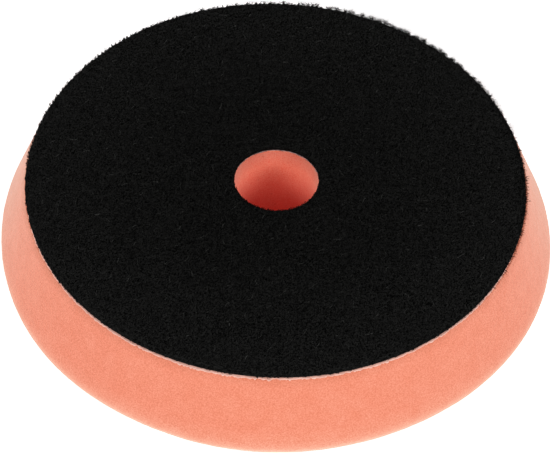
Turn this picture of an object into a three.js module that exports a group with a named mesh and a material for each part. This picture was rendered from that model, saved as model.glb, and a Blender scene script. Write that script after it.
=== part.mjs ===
// A hook-and-loop foam polishing pad for a rotary or dual-action polisher.
// Millimetres, +Z up. The pad lies on its working face, so Z = 0 is the foam's
// flat polishing face and the loop pile is on top. The origin is the middle of
// the working face, on the axis that the pad spins about.

import * as THREE from 'three';

// ---- driving dimensions ----

const BACKING_DIAMETER = 150;        // loop backing, for a 6 inch backing plate
const WORKING_DIAMETER = 167;        // widest ring of the foam, low on its side
const PAD_HEIGHT = 30;               // working face to pile tips
const CENTRE_HOLE_DIAMETER = 26;     // the same hole through all three layers

const LOOP_THICKNESS = 1.7;          // knitted ground and loop pile
const FILM_THICKNESS = 0.25;         // hot-melt film between foam and loop
const LAYER_GAP = 0.02;              // clear space left at each bonded face
const FILM_LIP = 0.35;               // how far the film shows past the loop backing
const FOAM_LIP = 0.5;                // the foam's upper rim past the loop backing

const WORKING_EDGE_RADIUS = 6.5;     // rounding between the foam's side and working face
const MOUTH_EDGE_RADIUS = 0.8;       // rounding where the hole meets the working face

const TURNS = 120;                   // facets round the axis
const EDGE_STEPS = 8;                // facets across a rounded edge

// ---- heights and radii that follow from them ----

const backingRadius = BACKING_DIAMETER / 2;
const workingRadius = WORKING_DIAMETER / 2;
const holeRadius = CENTRE_HOLE_DIAMETER / 2;

const loopBottom = PAD_HEIGHT - LOOP_THICKNESS;
const filmTop = loopBottom - LAYER_GAP;
const filmBottom = filmTop - FILM_THICKNESS;
const foamTop = filmBottom - LAYER_GAP;

// Points on an arc from one angle to another, in degrees, in the profile's plane.
function arcPoints(centreR, centreZ, radius, fromDegrees, toDegrees) {
  const points = [];
  for (let step = 0; step <= EDGE_STEPS; step += 1) {
    const degrees = fromDegrees + (toDegrees - fromDegrees) * (step / EDGE_STEPS);
    const angle = THREE.MathUtils.degToRad(degrees);
    const r = centreR + radius * Math.cos(angle);
    const z = centreZ + radius * Math.sin(angle);
    points.push(new THREE.Vector2(r, z));
  }
  return points;
}

// A ring turned from a closed profile of (radius, height) points. LatheGeometry
// turns about Y, so the ring is stood up with its axis along Z.
function turnedRing(name, profile, material) {
  const closed = [...profile, profile[0].clone()];
  const geometry = new THREE.LatheGeometry(closed, TURNS);
  geometry.rotateX(Math.PI / 2);
  const mesh = new THREE.Mesh(geometry, material);
  mesh.name = name;
  return mesh;
}

// A flat washer between two heights, with the centre hole through it.
function washerProfile(outerRadius, bottom, top) {
  return [
    new THREE.Vector2(holeRadius, bottom),
    new THREE.Vector2(outerRadius, bottom),
    new THREE.Vector2(outerRadius, top),
    new THREE.Vector2(holeRadius, top),
  ];
}

// The angle at which the slanting side leaves the rounded working edge, so that
// the two meet without a crease.
function sideAngle(rimRadius, rimHeight, edgeRadius, edgeCentreR) {
  const run = rimRadius - edgeCentreR;
  const rise = rimHeight - edgeRadius;
  const toRim = Math.atan2(rise, run);
  const opening = Math.acos(edgeRadius / Math.hypot(run, rise));
  return THREE.MathUtils.radToDeg(toRim - opening);
}

// Foam disc: flat polishing face below, a side that slants in towards the
// backing, and a soft rounded edge between the two.
function foamProfile() {
  const rimRadius = backingRadius + FOAM_LIP;
  const edgeCentreR = workingRadius - WORKING_EDGE_RADIUS;
  const leavesAt = sideAngle(rimRadius, foamTop, WORKING_EDGE_RADIUS, edgeCentreR);
  const mouthCentreR = holeRadius + MOUTH_EDGE_RADIUS;
  return [
    ...arcPoints(mouthCentreR, MOUTH_EDGE_RADIUS, MOUTH_EDGE_RADIUS, 180, 270),
    ...arcPoints(edgeCentreR, WORKING_EDGE_RADIUS, WORKING_EDGE_RADIUS, -90, leavesAt),
    new THREE.Vector2(rimRadius, foamTop),
    new THREE.Vector2(holeRadius, foamTop),
  ];
}

// ---- materials ----

const foamMaterial = new THREE.MeshStandardMaterial({
  color: 0xf79678,
  roughness: 0.95,
  metalness: 0,
});

const filmMaterial = new THREE.MeshStandardMaterial({
  color: 0xdfb2a4,
  roughness: 0.5,
  metalness: 0,
});

const loopMaterial = new THREE.MeshStandardMaterial({
  color: 0x0f0f0f,
  roughness: 1,
  metalness: 0,
});

// ---- the pad ----

function foamBody() {
  return turnedRing('foam_body', foamProfile(), foamMaterial);
}

function bondFilm() {
  const profile = washerProfile(backingRadius + FILM_LIP, filmBottom, filmTop);
  return turnedRing('bond_film', profile, filmMaterial);
}

function loopBacking() {
  const profile = washerProfile(backingRadius, loopBottom, PAD_HEIGHT);
  return turnedRing('loop_backing', profile, loopMaterial);
}

const polishingPad = new THREE.Group();
polishingPad.add(foamBody());
polishingPad.add(bondFilm());
polishingPad.add(loopBacking());

export default polishingPad;
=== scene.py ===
import math

import bpy
import numpy as np
from mathutils import Matrix, Vector, noise


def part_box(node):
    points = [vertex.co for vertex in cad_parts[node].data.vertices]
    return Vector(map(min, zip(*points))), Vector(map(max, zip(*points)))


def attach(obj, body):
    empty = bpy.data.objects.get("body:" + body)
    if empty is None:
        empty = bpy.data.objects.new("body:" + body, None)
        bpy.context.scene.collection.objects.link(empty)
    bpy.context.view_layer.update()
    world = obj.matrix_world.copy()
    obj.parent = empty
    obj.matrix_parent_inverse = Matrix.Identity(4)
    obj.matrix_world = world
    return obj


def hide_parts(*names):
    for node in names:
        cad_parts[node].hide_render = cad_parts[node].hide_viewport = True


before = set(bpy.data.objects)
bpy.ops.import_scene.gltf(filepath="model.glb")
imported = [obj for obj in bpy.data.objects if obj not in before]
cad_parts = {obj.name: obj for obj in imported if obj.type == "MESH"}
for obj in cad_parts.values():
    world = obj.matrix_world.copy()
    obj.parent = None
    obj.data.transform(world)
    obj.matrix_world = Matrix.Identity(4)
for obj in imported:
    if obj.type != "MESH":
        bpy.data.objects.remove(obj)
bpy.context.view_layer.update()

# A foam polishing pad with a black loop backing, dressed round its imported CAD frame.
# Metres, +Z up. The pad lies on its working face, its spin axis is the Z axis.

MM = 0.001

# ---- sizes read from the frame ----

_, foam_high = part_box("foam_body")
film_low, film_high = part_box("bond_film")
loop_low, loop_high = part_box("loop_backing")


def smallest_radius(node):
    """Radius of the hole through a CAD ring."""
    return min(math.hypot(v.co.x, v.co.y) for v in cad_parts[node].data.vertices)


HOLE = smallest_radius("loop_backing")
FOAM_RADIUS = foam_high.x
FOAM_TOP = foam_high.z
LOOP_RADIUS = loop_high.x
PILE_TOP = loop_high.z

# ---- sizes of the surface detail ----

FOAM_RIM = LOOP_RADIUS + 0.5 * MM      # the foam's upper rim, as in the frame
WORKING_EDGE = 6.5 * MM                # rounding between side and working face
MOUTH_EDGE = 0.8 * MM                  # rounding where the hole meets the working face

FOAM_SPRING = 0.3 * MM                 # how far the cut side springs out past its nominal size
MELT_DEPTH = 3.0 * MM                  # foam under the film, shrunk by the hot melt and darker there, from the melt and from painted shade under the film's lip
MELT_SHRINK = 0.15 * MM
HOLE_SHADE = 22 * MM                   # how far down the hole the painted shade in the foam's colour reaches

FILM_BEAD = 0.16 * MM                  # radius of the melted bead along the film's cut edge

GROUND_DEPTH = 0.2 * MM                # matted ground of the cloth below the nominal top
PILE_RISE = 0.45 * MM                  # brushed loops above that ground
KNIT_PITCH = 1.5 * MM                  # rows of the knit, which scallop the cut edge
TUFT_PITCH = 2.8 * MM                  # shaggy tufts where the cut edge is worn
TUFT_WIDTH = 0.8 * MM
LOOPS = 40000                          # loops in the whole pile
LOOP_LENGTH = 1.2 * MM
LOOP_THICKNESS = 0.17 * MM
PILE_SECTORS = 5                       # meshes that the pile is shared between
RIM_LOOPS = 6000                       # loops that stand out of the cloth's outer edge
FRINGE_HAIRS = 2200                    # loose filaments at the right of the edge
FEATHER_HAIRS = 5000                   # finer ones round its tufts at the back right
HOLE_LOOPS = 1500                      # loops round the hole's edge
NAP_DIRECTION = math.radians(55)       # the way the pile is brushed, from +X
NAP_STRETCH = 2.0                      # how much longer than wide the grain of the pile is
BLACK_GRAIN = 0.245 * MM               # size of the grain in the pile's colour
STRAY_HAIRS = 350                      # long fine filaments lying on the pile

SKY = 0.53                             # radiance of the white surround
FLOOR_GLOW = 0.70                      # radiance of the light table by itself
FLOOR_DROP = 0.4 * MM                  # the table lies just clear of the foam's uneven skin
LAMP_DISTANCE = 1.4                    # metres from the middle of the pad to each soft box
LAMP_SIZE = 0.5                        # and the side of its square front

WHITE = (1.0, 1.0, 1.0)                # a colour multiplied by it stays as it is

SEED = 7


# ---- section outlines ----

def straight(start, end, pitch):
    """Points of a straight stretch of a section, without its last one."""
    count = max(1, round(math.dist(start, end) / pitch))
    steps = np.arange(count) / count
    return [(start[0] + (end[0] - start[0]) * t, start[1] + (end[1] - start[1]) * t) for t in steps]


def arc(centre, radius, from_degrees, to_degrees, pitch):
    """Points of a round stretch of a section, without its last one."""
    turn = math.radians(to_degrees - from_degrees)
    count = max(1, round(abs(turn) * radius / pitch))
    angles = math.radians(from_degrees) + turn * np.arange(count) / count
    return [(centre[0] + radius * math.cos(a), centre[1] + radius * math.sin(a)) for a in angles]


def section_normals(points):
    """Unit normals of a closed section, pointing out of the solid. The section runs anticlockwise."""
    ahead = np.roll(points, -1, axis=0) - np.roll(points, 1, axis=0)
    outward = np.stack([ahead[:, 1], -ahead[:, 0]], axis=1)
    return outward / np.linalg.norm(outward, axis=1)[:, None]


# ---- turned meshes ----

def ring_faces(start_a, count_a, start_b, count_b):
    """Faces between two rings of vertices, whose counts are equal, or one twice the other."""
    faces = []
    if count_a == count_b:
        for k in range(count_a):
            n = (k + 1) % count_a
            faces.append((start_a + k, start_a + n, start_b + n, start_b + k))
    elif count_a == 2 * count_b:
        for k in range(count_b):
            n = (k + 1) % count_b
            left, middle, right = start_a + 2 * k, start_a + 2 * k + 1, start_a + 2 * n
            faces.append((left, middle, start_b + k))
            faces.append((middle, start_b + n, start_b + k))
            faces.append((middle, right, start_b + n))
    else:
        faces = [tuple(reversed(face)) for face in ring_faces(start_b, count_b, start_a, count_a)]
    return faces


def turned(stretches):
    """A closed ring turned from the stretches of its section: the (radius, height) points of each and
    its number of facets round the axis.

    Returns the points, their outward normals, their angles about the axis and the faces."""
    section = np.array([point for points, count in stretches for point in points])
    counts = [count for points, count in stretches for point in points]
    normals = section_normals(section)
    starts = np.concatenate([[0], np.cumsum(counts)])
    points, outward, angles, faces = [], [], [], []
    for i, count in enumerate(counts):
        a = np.arange(count) * 2 * math.pi / count
        radius, height = section[i]
        points.append(np.stack([radius * np.cos(a), radius * np.sin(a), np.full(count, height)], axis=1))
        outward.append(np.stack([normals[i, 0] * np.cos(a), normals[i, 0] * np.sin(a),
                                 np.full(count, normals[i, 1])], axis=1))
        angles.append(a)
        after = (i + 1) % len(counts)
        faces += ring_faces(int(starts[i]), count, int(starts[after]), counts[after])
    return np.concatenate(points), np.concatenate(outward), np.concatenate(angles), faces


def move_out(points, angles, distance):
    """Moves points away from the axis, each by its own distance."""
    points[:, 0] += distance * np.cos(angles)
    points[:, 1] += distance * np.sin(angles)


def mesh_object(name, points, faces, materials):
    """A smooth-shaded mesh object from arrays of points and faces."""
    mesh = bpy.data.meshes.new(name)
    mesh.from_pydata(points.tolist(), [], faces)
    mesh.polygons.foreach_set("use_smooth", np.ones(len(mesh.polygons), bool))
    mesh.update()
    obj = bpy.data.objects.new(name, mesh)
    bpy.context.scene.collection.objects.link(obj)
    for material in materials:
        mesh.materials.append(material)
    return obj


def bumps(points, size, shift=0.0):
    """Smooth noise from about -1 to 1 at each point, with bumps of that size."""
    return np.array([noise.noise(p) for p in (points / size + shift).tolist()])


def pits(points, spacing, width, share):
    """From 0 to 1, how deep each point lies in the round pits that a share of the cells hold."""
    depth = np.zeros(len(points))
    for i, p in enumerate((points / spacing).tolist()):
        distances, centres = noise.voronoi(p)
        if noise.cell(centres[0] * 9.7) < share:
            depth[i] = max(0.0, 1.0 - distances[0] * spacing / width)
    return depth * depth * (3 - 2 * depth)


# ---- places round the rim ----

def along_edge(angle, out, aside, height):
    """Points beside a cut edge at an angle: so far out from the axis, so far aside along the edge."""
    across = out * np.cos(angle) - aside * np.sin(angle)
    forward = out * np.sin(angle) + aside * np.cos(angle)
    return np.stack([across, forward, height], axis=-1)


def cut_edge(angles):
    """Points on the cloth's nominal cut edge, for noise that runs along it."""
    return along_edge(angles, LOOP_RADIUS, 0 * angles, 0 * angles)


def lobe(angles, degrees, power):
    """From 1 at an angle in degrees down to 0 a quarter turn away. A higher power is narrower."""
    return np.clip(np.cos(angles - math.radians(degrees)), 0, 1) ** power


def facing_front(angles):
    """From 0 to 1: the front stretch of the rim, where the cut is most ragged."""
    return lobe(angles, 270, 4)


def trimmed_short(angles):
    """From 0 to 1: the cloth and its film are cut a little short at the right."""
    return lobe(angles, 6, 8)


# ---- foam ----

def foam_section():
    """Stretches of the foam's section, with their facets: hole, working face, edge, side and top."""
    fine, middle, coarse = 960, 480, 240
    inner_face, inner_top, rim_start = 34 * MM, 40 * MM, FOAM_RIM - 1.2 * MM
    edge_centre = (FOAM_RADIUS - WORKING_EDGE, WORKING_EDGE)
    run, rise = FOAM_RIM - edge_centre[0], FOAM_TOP - edge_centre[1]
    leaves_at = math.degrees(math.atan2(rise, run) - math.acos(WORKING_EDGE / math.hypot(run, rise)))
    side_foot = arc(edge_centre, WORKING_EDGE, leaves_at, leaves_at + 1, 1)[0]
    return [
        (straight((HOLE, FOAM_TOP), (HOLE, MOUTH_EDGE), 0.6 * MM), coarse),
        (arc((HOLE + MOUTH_EDGE, MOUTH_EDGE), MOUTH_EDGE, 180, 270, 0.3 * MM), coarse),
        (straight((HOLE + MOUTH_EDGE, 0), (inner_face, 0), 0.9 * MM), coarse),
        (straight((inner_face, 0), (edge_centre[0], 0), 1.6 * MM), middle),
        (arc(edge_centre, WORKING_EDGE, -90, leaves_at, 0.5 * MM), fine),
        (straight(side_foot, (FOAM_RIM, FOAM_TOP), 0.5 * MM), fine),
        (straight((FOAM_RIM, FOAM_TOP), (rim_start, FOAM_TOP), 0.6 * MM), fine),
        (straight((rim_start, FOAM_TOP), (inner_top, FOAM_TOP), 12 * MM), middle),
        (straight((inner_top, FOAM_TOP), (HOLE, FOAM_TOP), 9 * MM), coarse),
    ]


def wander(angles):
    """How far the cut foam's outline strays from a circle at each angle: one, two and three long waves
    round the pad, a bulge at the front and a flat beside it."""
    one = 0.11 * np.cos(angles - math.radians(40))
    two = 0.33 * np.cos(2 * angles + math.radians(57))
    three = 0.57 * np.cos(3 * angles + math.radians(52))
    front = 0.50 * lobe(angles, 269, 14)
    left_front = 0.40 * lobe(angles, 242, 24)
    return (one + two + three + front - left_front) * MM


def foam_pad(material):
    """The foam disc: its cut side strays from a circle, and its skin is slightly bumpy and pitted."""
    points, outward, angles, faces = turned(foam_section())
    radius, height = np.hypot(points[:, 0], points[:, 1]), points[:, 2]
    past_rim = radius > FOAM_RIM - 0.1 * MM
    down = np.clip((FOAM_TOP - height) / (FOAM_TOP - WORKING_EDGE), 0, 1)
    out = np.clip((radius - HOLE) / (FOAM_RADIUS - HOLE), 0, 1)
    melted = np.clip(1 - (FOAM_TOP - height) / MELT_DEPTH, 0, 1) ** 2 * past_rim
    stray = (wander(angles) + FOAM_SPRING) * down * out ** 2 - MELT_SHRINK * melted
    skin = 0.05 * bumps(points, 6 * MM) + 0.05 * bumps(points, 1.4 * MM, 3.1)
    skin -= 0.07 * pits(points, 3.4 * MM, 0.5 * MM, 0.3)
    underside, working_face = outward[:, 2] <= -0.5, outward[:, 2] < -0.9
    skin += 0.10 * bumps(points, 30 * MM, 8.2) * ~underside
    skin -= 0.08 * working_face
    bonded = (height > FOAM_TOP - 0.01 * MM) & ~past_rim
    lift = np.where(bonded, 0, skin) * MM
    points = points + outward * lift[:, None]
    move_out(points, angles, stray)
    obj = mesh_object("foam_pad", points, faces, [material])
    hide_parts("foam_body")
    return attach(obj, "root")


# ---- hot-melt film ----

def film_lip(angles):
    """How far the film's melted edge shows past the loop cloth: most at the front, hardly at the back."""
    front = 0.5 - 0.5 * np.sin(angles)
    edge = cut_edge(angles)
    ragged = 0.20 * bumps(edge, 2.6 * MM, 1.7) + 0.16 * bumps(edge, 1.1 * MM, 5.3)
    ragged += (0.16 + 0.36 * facing_front(angles)) * bumps(edge, 0.65 * MM)
    return (0.84 * front ** 1.5 - 0.28 + ragged - 0.85 * trimmed_short(angles)) * MM


def bond_film(material):
    """The film between foam and cloth, with a melted bead along its cut edge."""
    low, high = film_low.z, film_high.z
    middle = (low + high) / 2
    around, inner = 1920, 960
    inner_film, melt_width = 40 * MM, 1 * MM
    melt_start = LOOP_RADIUS - melt_width
    stretches = [
        (straight((HOLE, low), (inner_film, low), 9 * MM), inner),
        (straight((inner_film, low), (melt_start, low), 9 * MM), inner),
        (straight((melt_start, low), (LOOP_RADIUS, middle - FILM_BEAD), 0.35 * MM), around),
        (arc((LOOP_RADIUS, middle), FILM_BEAD, -90, 90, 0.12 * MM), around),
        (straight((LOOP_RADIUS, middle + FILM_BEAD), (melt_start, high), 0.35 * MM), around),
        (straight((melt_start, high), (HOLE, high), 9 * MM), inner),
    ]
    points, _, angles, faces = turned(stretches)
    radius = np.hypot(points[:, 0], points[:, 1])
    near_rim = np.clip((radius - melt_start) / melt_width, 0, 1)
    near_hole = np.clip((HOLE + melt_width - radius) / melt_width, 0, 1)
    into_hole = 0.10 * MM * (1 + 2 * bumps(points, 1.5 * MM))
    move_out(points, angles, film_lip(angles) * near_rim - into_hole * near_hole)
    points[:, 2] += (0.08 * bumps(points, 2 * MM, 2.4) - 0.05) * MM * near_rim
    obj = mesh_object("film_layer", points, faces, [material])
    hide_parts("bond_film")
    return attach(obj, "root")


# ---- loop cloth ----

def cloth_height(points):
    """Height of the matted cloth under the pile: clumps of brushed loops over a gently uneven ground."""
    clumps = 0.12 * bumps(points, 1.7 * MM, 4.4) + 0.10 * bumps(points, 1.0 * MM, 9.1)
    ground = 0.06 * bumps(points, 14 * MM, 6.6)
    return PILE_TOP - GROUND_DEPTH + (clumps + ground) * MM


def scallops(angles):
    """From about -1 to 1, the cut edge's small waves: one to each row of the knit, a little uneven."""
    edge = cut_edge(angles)
    drift = 1.2 * bumps(edge, 9 * MM, 3.3)
    height = 0.7 + 0.6 * bumps(edge, 4 * MM)
    return np.sin(angles * LOOP_RADIUS / KNIT_PITCH * 2 * math.pi + drift) * height


def tuft_places():
    """The angle and the height, up to about 1, of each shaggy tuft of the cut edge."""
    random = np.random.default_rng(SEED)
    count = round(2 * math.pi * LOOP_RADIUS / TUFT_PITCH)
    angle = (np.arange(count) + random.uniform(-0.3, 0.3, count)) * 2 * math.pi / count
    return angle, random.uniform(0.4, 1.0, count)


def tufted(angles):
    """Height of the tufted outline at each angle."""
    centre, height = tuft_places()
    apart = (angles[..., None] - centre + math.pi) % (2 * math.pi) - math.pi
    return np.max(height * np.exp(-(apart * LOOP_RADIUS / TUFT_WIDTH) ** 2), axis=-1)


def brushed_edge(angles):
    """How far the cut edge stands out at each angle: even scallops at the left, shaggy tufts where it's
    worn at the back right, and frayed at the front."""
    edge = cut_edge(angles)
    right, back = 0.5 + 0.5 * np.cos(angles - math.radians(35)), 0.5 + 0.5 * np.sin(angles)
    even = (0.10 + 0.16 * back * (1 - 0.6 * right)) * scallops(angles)
    worn = lobe(angles, 54, 2.5)
    uneven = (0.09 + 0.15 * worn) * (bumps(edge, 2.6 * MM, 7.7) + bumps(edge, 0.9 * MM, 2.2))
    frayed = (0.15 + 0.50 * facing_front(angles)) * bumps(edge, 0.65 * MM, 4.1)
    full = 0.45 * lobe(angles, 102, 4)
    short = 1.15 * trimmed_short(angles)
    tufts = worn * (0.30 * tufted(angles) - 0.50)
    return (0.20 + 0.03 * back + full - short + even + uneven + frayed + tufts) * MM


def loop_cloth(material):
    """The cloth's matted ground, with a rounded and brushed cut edge outside and at the hole."""
    top, low = PILE_TOP - GROUND_DEPTH, loop_low.z
    finest, fine, middle, coarse = 1920, 960, 480, 240
    inner_cloth, outer_cloth = 26 * MM, 50 * MM
    under_rim, near_rim = LOOP_RADIUS - 3 * MM, LOOP_RADIUS - 1 * MM
    edge = 0.45 * MM
    stretches = [
        (straight((HOLE, low), (under_rim, low), 10 * MM), coarse),
        (straight((under_rim, low), (near_rim, low), 2 * MM), middle),
        (straight((near_rim, low), (LOOP_RADIUS, low), 0.5 * MM), fine),
        (straight((LOOP_RADIUS, low), (LOOP_RADIUS, top - edge), 0.3 * MM), finest),
        (arc((LOOP_RADIUS - edge, top - edge), edge, 0, 90, 0.25 * MM), finest),
        (straight((LOOP_RADIUS - edge, top), (outer_cloth, top), 0.6 * MM), fine),
        (straight((outer_cloth, top), (inner_cloth, top), 0.6 * MM), middle),
        (straight((inner_cloth, top), (HOLE + edge, top), 0.6 * MM), coarse),
        (arc((HOLE + edge, top - edge), edge, 90, 180, 0.25 * MM), coarse),
        (straight((HOLE, top - edge), (HOLE, low), 0.35 * MM), coarse),
    ]
    points, outward, angles, faces = turned(stretches)
    facing_up = np.clip(outward[:, 2], 0, 1)
    relief = cloth_height(points) - top
    points[:, 2] += relief * facing_up
    underneath = outward[:, 2] <= -0.5
    sideways = np.clip(1.6 * (1 - outward[:, 2]) - 0.3, 0, 1) * ~underneath
    at_hole = 0.28 + 0.20 * bumps(points, 1.6 * MM, 7.7) + 0.20 * bumps(points, 0.9 * MM, 2.2)
    outside = np.hypot(points[:, 0], points[:, 1]) > outer_cloth
    ragged = np.where(outside, brushed_edge(angles), at_hole * MM)
    points += outward * (ragged * sideways)[:, None]
    return mesh_object("loop_cloth", points, faces, [material])


# ---- fibres ----

def fibres(name, lines, thickness, materials, slots=None):
    """Closed three-sided tubes along lines, an array of (fibre, step, 3), tapering to both ends. The
    slots say which of the materials each fibre has."""
    count, steps, _ = lines.shape
    nearly_up, tiny = [0.03, 0.02, 1.0], 1e-12
    along = np.gradient(lines, axis=1)
    along /= np.linalg.norm(along, axis=2)[..., None] + tiny
    side = np.cross(along, nearly_up)
    side /= np.linalg.norm(side, axis=2)[..., None] + tiny
    over = np.cross(side, along)
    taper = 0.55 + 0.45 * np.sin(math.pi * np.linspace(0.08, 0.92, steps))
    radii = (np.asarray(thickness).reshape(-1, 1) / 2) * taper
    corners = []
    for degrees in (90, 210, 330):
        turn = math.radians(degrees)
        corners.append(lines + (side * math.cos(turn) + over * math.sin(turn)) * radii[..., None])
    points = np.stack(corners, axis=2).reshape(-1, 3)
    first = (np.arange(count) * steps * 3)[:, None, None]
    step = (np.arange(steps - 1) * 3)[None, :, None]
    corner = np.arange(3)[None, None, :]
    after = (np.arange(3) + 1) % 3
    a = first + step + corner
    b = first + step + after[None, None, :]
    quads = np.stack([a, b, b + 3, a + 3], axis=3).reshape(-1, 4)
    start = first[:, 0, :] + np.array([2, 1, 0])
    end = first[:, 0, :] + (steps - 1) * 3 + np.array([0, 1, 2])
    faces = quads.tolist() + start.tolist() + end.tolist()
    obj = mesh_object(name, points, faces, materials)
    if slots is not None:
        slots = np.asarray(slots)
        of_quads = np.repeat(slots, (steps - 1) * 3)
        obj.data.polygons.foreach_set("material_index", np.concatenate([of_quads, slots, slots]))
    return obj


def sunflower(count, inner, outer, random):
    """Evenly scattered places on a ring between two radii: (radius, angle) of each."""
    k = np.arange(count) + 0.5
    radius = np.sqrt(inner ** 2 + (outer ** 2 - inner ** 2) * k / count)
    angle = k * math.pi * (3 - math.sqrt(5))
    radius += random.normal(0, 0.3 * MM, count)
    angle += random.normal(0, 0.3 * MM, count) / radius
    return np.clip(radius, inner, outer), angle % (2 * math.pi)


def pile_lines(random):
    """Centre lines of the brushed loops: short arches that lie over and curl on the cloth."""
    radius, angle = sunflower(LOOPS, HOLE + 0.2 * MM, LOOP_RADIUS - 0.2 * MM, random)
    steps = 4
    t = np.linspace(0, 1, steps)[None, :]
    base = np.stack([radius * np.cos(angle), radius * np.sin(angle), 0 * radius], axis=1)
    base[:, 2] = cloth_height(base)
    heading = random.normal(NAP_DIRECTION, 0.75, LOOPS)[:, None]
    curl = random.normal(0, 1.6, LOOPS)[:, None]
    length = LOOP_LENGTH * random.uniform(0.6, 1.3, LOOPS)[:, None]
    rise = PILE_RISE * random.uniform(0.45, 1.15, LOOPS)[:, None]
    direction = heading + curl * (t - 0.5)
    across = np.cumsum(np.cos(direction), axis=1) * length / steps
    forward = np.cumsum(np.sin(direction), axis=1) * length / steps
    height = rise * np.sin(math.pi * (0.08 + 0.84 * t)) - 0.05 * MM
    lines = base[:, None, :] + np.stack([across, forward, height + 0 * across], axis=2)
    reach = np.hypot(lines[..., 0], lines[..., 1])
    pull = np.clip(reach, HOLE + 0.05 * MM, LOOP_RADIUS + 0.1 * MM) / reach
    lines[..., :2] *= pull[..., None]
    return lines, angle


def loop_pile(materials, random):
    """The pile in sectors, so that no mesh is too heavy."""
    lines, angle = pile_lines(random)
    thickness = LOOP_THICKNESS * random.uniform(0.7, 1.3, LOOPS)
    shade = random.integers(0, len(materials), LOOPS)
    sector = (angle / (2 * math.pi) * PILE_SECTORS).astype(int)
    made = []
    for k in range(PILE_SECTORS):
        mine = sector == k
        obj = fibres(f"loop_pile_{k + 1}", lines[mine], thickness[mine], materials, shade[mine])
        made.append(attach(obj, "root"))
    return made


def shagginess(angle):
    """How far the edge's loops stand out: more at the back right than at the front left."""
    return 0.9 + 0.15 * np.cos(angle - math.radians(55))


def edge_loops(count, radius, side, reach, random):
    """Centre lines of the loops that stand out of a cut edge, in a tuft for each row of the knit.

    The side is 1 for the outer edge, and -1 for the loops that stand into the hole."""
    tufts = round(2 * math.pi * radius / KNIT_PITCH)
    tuft = random.integers(0, tufts, count)
    tuft_angle = (np.arange(tufts) + random.normal(0, 0.12, tufts)) * 2 * math.pi / tufts
    tuft_reach = reach * random.uniform(0.35, 1.15, tufts)
    off_centre = random.normal(0, 0.30, count) * MM
    angle = tuft_angle[tuft] + off_centre / radius
    stands = tuft_reach[tuft] * np.exp(-(off_centre / (0.6 * MM)) ** 2) * random.uniform(0.55, 1.1, count)
    if side > 0:
        stands *= shagginess(angle) * (0.55 + 0.85 * tufted(angle))
        foot_radius = radius + brushed_edge(angle)
    else:
        foot_radius = radius - 0.22 * MM + 0 * angle
    stands, foot_radius = stands[:, None], foot_radius[:, None]
    steps = 5
    t = np.linspace(0, 1, steps)[None, :]
    width = random.normal(0, 0.2, count)[:, None] * MM
    lean = random.normal(0, 0.25, count)[:, None] * MM
    hang = 0 if side > 0 else 0.5 * MM
    low, high = loop_low.z + 0.25 * MM - hang, PILE_TOP - 0.2 * MM
    foot = (low + (high - low) * random.uniform(0, 1, count) ** 0.6)[:, None]
    climb = random.normal(0.12, 0.22, count)[:, None] * MM
    arch = np.sin(math.pi * (0.06 + 0.8 * t))
    out = foot_radius + side * (stands * arch - 0.12 * MM)
    aside = width * (t - 0.5) + lean * arch ** 2
    height = np.minimum(foot + climb * arch, PILE_TOP + 0.4 * MM)
    return along_edge(angle[:, None], out, aside, height)


def edge_wisps(count, wisp_angle, wisp_reach, centre, spread, gather, random):
    """Centre lines of fine hairs that stick out of the outer edge, in wisps at the given angles.

    The wisps are fullest near the centre angle, in degrees, and thin out with the spread. Gather is 1
    where the hairs of a wisp lean and close together, and near 0 where each goes its own way."""
    wisps = len(wisp_angle)
    pitch = 2 * math.pi * LOOP_RADIUS / wisps
    where = random.normal(math.radians(centre), math.radians(spread), count)
    wisp = np.round(where / (2 * math.pi) * wisps).astype(int) % wisps
    wisp_lean = random.normal(-0.15, 0.45, wisps)
    steps = 5
    t = np.linspace(0, 1, steps)[None, :]
    off_centre = random.normal(0, 0.25, count) * pitch
    angle = wisp_angle[wisp] + off_centre / LOOP_RADIUS
    stands = (wisp_reach[wisp] * random.uniform(0.4, 1.1, count))[:, None]
    lean = (gather * wisp_lean[wisp] + random.normal(0, 0.65 - 0.5 * gather, count))[:, None]
    turn = lean + random.normal(0, 0.6, count)[:, None] * t
    climb = random.normal(0.15, 0.35, count)[:, None] - 0.5 * t
    low, high = loop_low.z + 0.3 * MM, PILE_TOP - 0.1 * MM
    foot = (low + (high - low) * random.uniform(0, 1, count) ** 0.6)[:, None]
    foot_radius = (LOOP_RADIUS + brushed_edge(angle))[:, None]
    out = foot_radius + np.cumsum(np.cos(turn), axis=1) * stands / steps - 0.2 * MM
    aside = np.cumsum(np.sin(turn), axis=1) * stands / steps - 0.7 * gather * off_centre[:, None] * t
    height = np.minimum(foot + np.cumsum(np.sin(climb), axis=1) * stands / steps, PILE_TOP + 0.5 * MM)
    return along_edge(angle[:, None], out, aside, height)


def stray_hairs(count, random):
    """Centre lines of long fine filaments pulled out of the pile, lying in loose curves on it."""
    radius, angle = sunflower(count, HOLE + 3 * MM, LOOP_RADIUS - 3 * MM, random)
    steps = 8
    heading = random.normal(NAP_DIRECTION, 0.6, count)[:, None]
    curl = random.normal(0, 0.9, count)[:, None]
    length = random.uniform(1.2, 3.2, count)[:, None] * MM
    direction = heading + curl * (np.linspace(0, 1, steps)[None, :] - 0.5)
    across = (radius * np.cos(angle))[:, None] + np.cumsum(np.cos(direction), axis=1) * length / steps
    forward = (radius * np.sin(angle))[:, None] + np.cumsum(np.sin(direction), axis=1) * length / steps
    height = PILE_TOP + random.uniform(0.15, 0.32, count)[:, None] * MM + 0 * across
    return np.stack([across, forward, height], axis=2)


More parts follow.
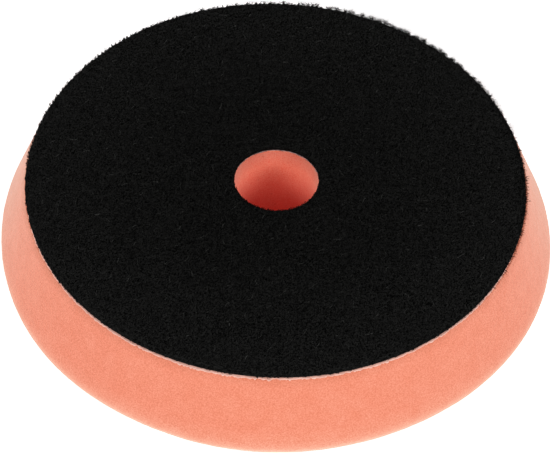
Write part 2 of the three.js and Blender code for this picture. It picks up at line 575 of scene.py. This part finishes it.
def fuzz(dark, pale, random):
    """Tufted loops round the cloth's outer edge and its hole, and fine hairs at the rim and on the pile."""
    outer = edge_loops(RIM_LOOPS, LOOP_RADIUS, 1, 0.65 * MM, random)
    inner = edge_loops(HOLE_LOOPS, HOLE, -1, 0.32 * MM, random)
    close = np.arange(0, 2 * math.pi, 0.5 * MM / LOOP_RADIUS)
    fringe = edge_wisps(FRINGE_HAIRS, close, random.uniform(0.3, 2.0, len(close)) * MM, 3, 17, 1.0, random)
    tuft_angle, tuft_height = tuft_places()
    feathers = edge_wisps(FEATHER_HAIRS, tuft_angle, (1.2 + 1.5 * tuft_height) * MM, 56, 26, 0.2, random)
    made = []
    for name, lines, thin, thick, material in (
            ("rim_loops", outer, 0.08, 0.14, dark),
            ("hole_loops", inner, 0.06, 0.10, dark),
            ("rim_fringe", fringe, 0.07, 0.11, dark),
            ("rim_feathers", feathers, 0.035, 0.055, dark),
            ("stray_hairs", stray_hairs(STRAY_HAIRS, random), 0.05, 0.09, pale)):
        thickness = random.uniform(thin, thick, len(lines)) * MM
        obj = fibres(name, lines, thickness, [material])
        made.append(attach(obj, "root"))
    return made


# ---- materials ----

def principled(name, **values):
    """A new node material, with plain values set on its shader's own sockets."""
    material = bpy.data.materials.new(name)
    material.use_nodes = True
    shader = material.node_tree.nodes["Principled BSDF"]
    for socket, value in values.items():
        shader.inputs[socket.replace("_", " ")].default_value = value
    return material, material.node_tree, shader


def node(tree, kind, operation=None, **values):
    """A new node with its input values set by name."""
    made = tree.nodes.new(kind)
    if operation:
        made.operation = operation
    for socket, value in values.items():
        made.inputs[socket.replace("_", " ")].default_value = value
    return made


def place(tree):
    """The point on the object in metres, for procedural textures."""
    return tree.nodes.new("ShaderNodeTexCoord").outputs["Object"]


def place_along_nap(tree):
    """The same point, squeezed so that a texture comes out stretched the way the pile is brushed."""
    made = node(tree, "ShaderNodeMapping", Rotation=(0, 0, NAP_DIRECTION), Scale=(NAP_STRETCH, 1, 1))
    made.vector_type = "TEXTURE"
    tree.links.new(place(tree), made.inputs["Vector"])
    return made.outputs["Vector"]


def noise_of(tree, size, detail=2.0, roughness=0.5, where=place):
    """Noise with features of that size in metres."""
    made = node(tree, "ShaderNodeTexNoise", Scale=1 / size, Detail=detail, Roughness=roughness)
    tree.links.new(where(tree), made.inputs["Vector"])
    return made.outputs["Fac"]


def cells_of(tree, size):
    """Distance to the nearest of scattered cell centres, in cells of that size in metres."""
    made = node(tree, "ShaderNodeTexVoronoi", Scale=1 / size, Randomness=1.0)
    tree.links.new(place(tree), made.inputs["Vector"])
    return made.outputs["Distance"]


def ramp(tree, fac, *stops):
    """A colour ramp with stops of (position, (r, g, b)), in linear colour."""
    made = tree.nodes.new("ShaderNodeValToRGB")
    elements = made.color_ramp.elements
    while len(elements) < len(stops):
        elements.new(1.0)
    for element, (position, colour) in zip(elements, stops):
        element.position = position
        element.color = (*colour, 1.0)
    tree.links.new(fac, made.inputs["Fac"])
    return made.outputs["Color"]


def grey_ramp(tree, fac, *stops):
    """A ramp of plain numbers, as a colour."""
    return ramp(tree, fac, *[(position, (v, v, v)) for position, v in stops])


def mix(tree, how, a, b, fac=None):
    """Two colours mixed, MIX or MULTIPLY. Without a factor the mix is full."""
    made = tree.nodes.new("ShaderNodeMix")
    made.data_type = "RGBA"
    made.blend_type = how
    made.inputs["Factor"].default_value = 1.0
    if fac is not None:
        tree.links.new(fac, made.inputs["Factor"])
    colours = [i for i in made.inputs if i.type == "RGBA"]
    tree.links.new(a, colours[0])
    tree.links.new(b, colours[1])
    return next(o for o in made.outputs if o.type == "RGBA")


def uneven_roughness(tree, shader, size, least, most):
    """Roughness in patches of that size, from the least to the most."""
    rough = grey_ramp(tree, noise_of(tree, size, 1), (0.2, least), (0.8, most))
    tree.links.new(rough, shader.inputs["Roughness"])


def bump(tree, shader, *layers):
    """Stacked bumps on a shader: each layer is (height, how high in metres, strength)."""
    previous = None
    for height, distance, strength in layers:
        made = node(tree, "ShaderNodeBump", Strength=strength, Distance=distance)
        tree.links.new(height, made.inputs["Height"])
        if previous:
            tree.links.new(previous, made.inputs["Normal"])
        previous = made.outputs["Normal"]
    tree.links.new(previous, shader.inputs["Normal"])


def distance_from_axis(tree, near, far):
    """From 0 at the near radius to 1 at the far one."""
    flat = node(tree, "ShaderNodeVectorMath", "MULTIPLY")
    tree.links.new(place(tree), flat.inputs[0])
    flat.inputs[1].default_value = (1, 1, 0)
    length = node(tree, "ShaderNodeVectorMath", "LENGTH")
    tree.links.new(flat.outputs["Vector"], length.inputs[0])
    span = node(tree, "ShaderNodeMapRange", From_Min=near, From_Max=far)
    tree.links.new(length.outputs["Value"], span.inputs["Value"])
    return span.outputs["Result"]


def height_in(tree, low, high):
    """From 0 at the low height to 1 at the high one."""
    parts = tree.nodes.new("ShaderNodeSeparateXYZ")
    tree.links.new(place(tree), parts.inputs["Vector"])
    span = node(tree, "ShaderNodeMapRange", From_Min=low, From_Max=high)
    tree.links.new(parts.outputs["Z"], span.inputs["Value"])
    return span.outputs["Result"]


def foam_material():
    """Salmon orange open-cell foam: fine cells, a few darker pores, a pale haze at glancing angles.

    The outside is palest low down: painted light, where the light table lights the rounded working edge.
    In the hole the foam is a brighter, redder copy, painted light for the light that scatters round the
    bore, and painted shade makes it redder low down and darker at the mouth. Just under the film the foam
    is a little darker, from the melt and from painted shade under the film's lip."""
    material, tree, shader = principled(
        "open_cell_foam", Specular_IOR_Level=0.1, Sheen_Weight=0.65, Sheen_Roughness=0.45,
        Sheen_Tint=(1.0, 0.92, 0.80, 1.0))
    mottle, fine = noise_of(tree, 5 * MM, 3, 0.6), noise_of(tree, 0.38 * MM, 1)
    outside = ramp(tree, mottle, (0.32, (0.755, 0.217, 0.135)), (0.68, (0.805, 0.245, 0.160)))
    strong = ramp(tree, fine, (0.32, (0.74, 0.68, 0.60)), (0.68, WHITE))
    # partly painted shade: darker just under the film, from the melt's own darkening and from shade under
    # the film's lip
    melt_and_painted_shade = ramp(tree, height_in(tree, FOAM_TOP - MELT_DEPTH, FOAM_TOP),
                      (0.0, WHITE), (0.95, (0.84, 0.90, 0.88)))
    # painted light: paler low down, where the light table lights the rounded working edge
    painted_pale_foam = ramp(tree, mottle, (0.3, (0.90, 0.42, 0.30)), (0.7, (0.94, 0.48, 0.36)))
    painted_light_low_down = grey_ramp(tree, height_in(tree, 0, 12 * MM), (0.0, 0.40), (1.0, 0.0))
    painted_light_foot = mix(tree, "MIX", outside, painted_pale_foam, painted_light_low_down)
    outside = mix(tree, "MULTIPLY", mix(tree, "MULTIPLY", painted_light_foot, strong), melt_and_painted_shade)
    # painted light: in the hole the foam is a brighter, redder copy, for light scattered round the bore;
    # the depth shade below is painted shade, redder low down and darker at the mouth
    painted_light_inside = ramp(tree, mottle, (0.32, (0.985, 0.312, 0.198)), (0.68, (0.995, 0.332, 0.214)))
    faint = ramp(tree, fine, (0.32, (0.96, 0.60, 0.52)), (0.68, WHITE))
    depth_shade = ramp(tree, height_in(tree, FOAM_TOP - HOLE_SHADE, FOAM_TOP),
                       (0.0, (0.95, 0.70, 0.79)), (0.30, (1.0, 0.80, 0.85)),
                       (0.70, WHITE), (1.0, (0.74, 0.76, 0.80)))
    painted_light_inside = mix(tree, "MULTIPLY", mix(tree, "MULTIPLY", painted_light_inside, faint), depth_shade)
    base = mix(tree, "MIX", painted_light_inside, outside, distance_from_axis(tree, HOLE + 0.4 * MM, HOLE + 1.6 * MM))
    pores = ramp(tree, cells_of(tree, 3.2 * MM), (0.05, (0.90, 0.82, 0.80)), (0.13, WHITE))
    colour = mix(tree, "MULTIPLY", base, pores)
    tree.links.new(colour, shader.inputs["Base Color"])
    uneven_roughness(tree, shader, 1.2 * MM, 0.86, 1.0)
    bump(tree, shader, (cells_of(tree, 0.45 * MM), 0.12 * MM, 0.5),
         (noise_of(tree, 0.9 * MM, 3, 0.7), 0.12 * MM, 0.35))
    return material


def film_material():
    """Hot-melt film: thin, pale pink where the foam's colour comes through, satin. It's darker at the
    hole's edge: painted shade under the cloth's lip.
    """
    material, tree, shader = principled("hot_melt_film", Specular_IOR_Level=0.35)
    mottle = noise_of(tree, 1.6 * MM, 2)
    outside = ramp(tree, mottle, (0.25, (0.68, 0.34, 0.27)), (0.75, (0.86, 0.51, 0.43)))
    # painted shade: the film darkens at the hole's edge, under the cloth's lip
    painted_shade_at_hole = ramp(tree, distance_from_axis(tree, HOLE + 1 * MM, HOLE + 3 * MM),
                   (0.0, (0.60, 0.70, 0.80)), (1.0, WHITE))
    tree.links.new(mix(tree, "MULTIPLY", outside, painted_shade_at_hole), shader.inputs["Base Color"])
    uneven_roughness(tree, shader, 0.7 * MM, 0.45, 0.75)
    bump(tree, shader, (noise_of(tree, 0.5 * MM, 2), 0.06 * MM, 0.5))
    return material


def black_grain_and_painted_rim_light(tree, dark, light):
    """Black with fine grain from dark to light. It's a little greyer towards the pad's rim: painted light,
    where the standing pile catches the light.
    """
    speckle = noise_of(tree, BLACK_GRAIN, detail=1, where=place_along_nap)
    grain = grey_ramp(tree, speckle, (0.42, dark), (0.58, light))
    # painted light: the black is greyer towards the rim, where the standing pile catches the light
    rim = ramp(tree, distance_from_axis(tree, 0.45 * LOOP_RADIUS, LOOP_RADIUS),
               (0.0, (0.74, 0.74, 0.70)), (1.0, (1.0, 1.0, 0.96)))
    return mix(tree, "MULTIPLY", grain, rim)


def cloth_material():
    """The matted black ground of the loop cloth, nearly without gloss."""
    material, tree, shader = principled("loop_cloth_black", Specular_IOR_Level=0.01)
    tree.links.new(black_grain_and_painted_rim_light(tree, 0.0001, 0.0156), shader.inputs["Base Color"])
    uneven_roughness(tree, shader, 0.8 * MM, 0.85, 1.0)
    bump(tree, shader, (noise_of(tree, 0.35 * MM, 3, 0.7), 0.2 * MM, 0.7))
    return material


def fibre_material(name, dark, light, specular):
    """Nylon filament, from a dark tone to a light one. Its tone changes along and between the loops."""
    material, tree, shader = principled(name, Specular_IOR_Level=specular, Roughness=0.6)
    tree.links.new(black_grain_and_painted_rim_light(tree, dark, light), shader.inputs["Base Color"])
    return material


def floor_material():
    """A white light table, bright enough to leave no shadow under the pad's rounded edge."""
    material, tree, shader = principled(
        "light_table", Specular_IOR_Level=0.1, Roughness=0.9,
        Emission_Color=(*WHITE, 1), Emission_Strength=FLOOR_GLOW)
    colour = grey_ramp(tree, noise_of(tree, 0.4, 1), (0.3, 0.93), (0.7, 0.95))
    tree.links.new(colour, shader.inputs["Base Color"])
    return material


def painted_shade_mat_material():
    """The bright red mat that the pad hides: painted shade, a red sheet that stands in for the dark red
    depth of the hole, so that no white light comes up through it.
    """
    material, tree, shader = principled("painted_shade_red_mat", Specular_IOR_Level=0.05, Roughness=0.95)
    colour = ramp(tree, noise_of(tree, 3 * MM, 1), (0.3, (0.70, 0.035, 0.025)), (0.7, (0.75, 0.045, 0.03)))
    tree.links.new(colour, shader.inputs["Base Color"])
    return material


# ---- stage, light and camera ----

def stage_polygon(name, sides, radius, height, material):
    """A flat many-sided piece of the stage, centred under the pad."""
    a = (np.arange(sides) + 0.5) * 2 * math.pi / sides
    corners = np.stack([radius * np.cos(a), radius * np.sin(a), np.full(sides, height)], axis=1)
    mesh_object(name, corners, [tuple(range(sides))], [material])


def stage():
    """A wide square table, and on it the round red mat of painted shade that hides under the pad."""
    stage_polygon("floor", 4, 4.0, -FLOOR_DROP, floor_material())
    # painted shade: the red mat under the hole stands in for its dark red depth
    stage_polygon("mat", 48, 0.6 * LOOP_RADIUS, -FLOOR_DROP / 2, painted_shade_mat_material())


def daylight():
    """An even white surround, as in a light tent."""
    world = bpy.data.worlds.new("surround")
    world.use_nodes = True
    background = world.node_tree.nodes["Background"]
    background.inputs["Color"].default_value = (*WHITE, 1)
    background.inputs["Strength"].default_value = SKY
    bpy.context.scene.world = world


def softbox(name, azimuth, elevation, watts):
    """A square lamp that faces the pad. Its azimuth is in degrees to the right of the front."""
    a, e = math.radians(azimuth), math.radians(elevation)
    position = LAMP_DISTANCE * Vector((math.sin(a) * math.cos(e), -math.cos(a) * math.cos(e), math.sin(e)))
    lamp = bpy.data.lights.new(name, "AREA")
    lamp.size = LAMP_SIZE
    lamp.energy = watts
    obj = bpy.data.objects.new(name, lamp)
    obj.location = position
    obj.rotation_euler = (-position).to_track_quat("-Z", "Y").to_euler()
    bpy.context.scene.collection.objects.link(obj)


def camera_response():
    """Plain colours, with a camera's gentle shoulder: the brightest tones are held back a little."""
    bend, white = 0.7, 1.2
    fall = (white - 1) / (white - bend) ** 2
    all_channels = 3
    view = bpy.context.scene.view_settings
    view.view_transform = "Standard"
    view.use_curve_mapping = True
    view.curve_mapping.white_level = (white, white, white)
    curve = view.curve_mapping.curves[all_channels]
    for light in np.linspace(bend, white, 6)[:-1]:
        curve.points.new(light / white, light - fall * (light - bend) ** 2)
    for point in curve.points[:2]:
        point.handle_type = "VECTOR"
    view.curve_mapping.update()


def camera():
    """Looks down at the pad from the front through a long lens, rolled a little. It aims at a point in
    front of the hole, at the height of the pile."""
    elevation, roll = math.radians(48.6), math.radians(1.86)
    distance, forward = 0.833, 19.54 * MM
    back = Vector((0, -math.cos(elevation), math.sin(elevation)))
    right = Vector((1, 0, 0))
    up = back.cross(right)
    rolled_right = math.cos(roll) * right + math.sin(roll) * up
    rolled_up = math.cos(roll) * up - math.sin(roll) * right
    data = bpy.data.cameras.new("camera")
    data.lens = 184.5
    data.sensor_width = 36
    data.clip_start, data.clip_end = 0.01, 20
    obj = bpy.data.objects.new("camera", data)
    matrix = Matrix((rolled_right, rolled_up, back)).transposed().to_4x4()
    matrix.translation = Vector((0, -forward, PILE_TOP)) + back * distance
    obj.matrix_world = matrix
    bpy.context.scene.collection.objects.link(obj)
    bpy.context.scene.camera = obj


# ---- the scene ----

def build():
    """The pad's pieces, then the stage, the lights and the camera."""
    random = np.random.default_rng(SEED)
    foam_pad(foam_material())
    bond_film(film_material())
    cloth = loop_cloth(cloth_material())
    fibre_shades = [
        fibre_material("loop_fibre_dark", 0.0002, 0.0118, 0.01),
        fibre_material("loop_fibre_middle", 0.0004, 0.0200, 0.02),
        fibre_material("loop_fibre_light", 0.0012, 0.0300, 0.03),
    ]
    pile = loop_pile(fibre_shades, random)
    loose = fuzz(fibre_shades[0], fibre_material("stray_hair", 0.012, 0.14, 0.1), random)
    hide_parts("loop_backing")
    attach(cloth, "root")
    stage()
    daylight()
    softbox("left_box", azimuth=-49, elevation=35, watts=7.4)
    softbox("right_box", azimuth=60, elevation=34, watts=8.0)
    softbox("front_box", azimuth=0, elevation=45, watts=1.8)
    camera()
    camera_response()


build()
